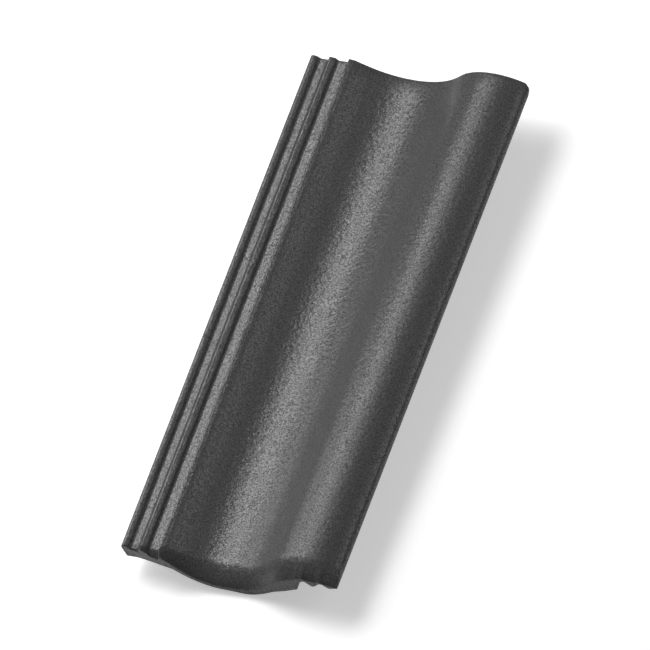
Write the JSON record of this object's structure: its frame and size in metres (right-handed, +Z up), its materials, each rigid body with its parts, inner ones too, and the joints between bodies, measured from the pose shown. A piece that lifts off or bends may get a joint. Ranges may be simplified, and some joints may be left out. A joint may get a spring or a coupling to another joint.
{
  "type": "interlocking concrete roof tile",
  "caption": "Half-width interlocking roof tile: wave-shaped plate with a ribbed side lock, a grooved cover rim, a rounded foot nose and a hanging nib for a roof batten",
  "frame": {"origin": "centre of the bounding box's bottom, on the floor the tile lies on", "axes": "+X from the side lock to the cover rim, +Y from the foot to the head, +Z up from the floor"},
  "size_m": [0.181, 0.4208, 0.055],
  "materials": {
    "body": "satin"
  },
  "bodies": {
    "root": {"tile": "body"}
  },
  "joints": []
}
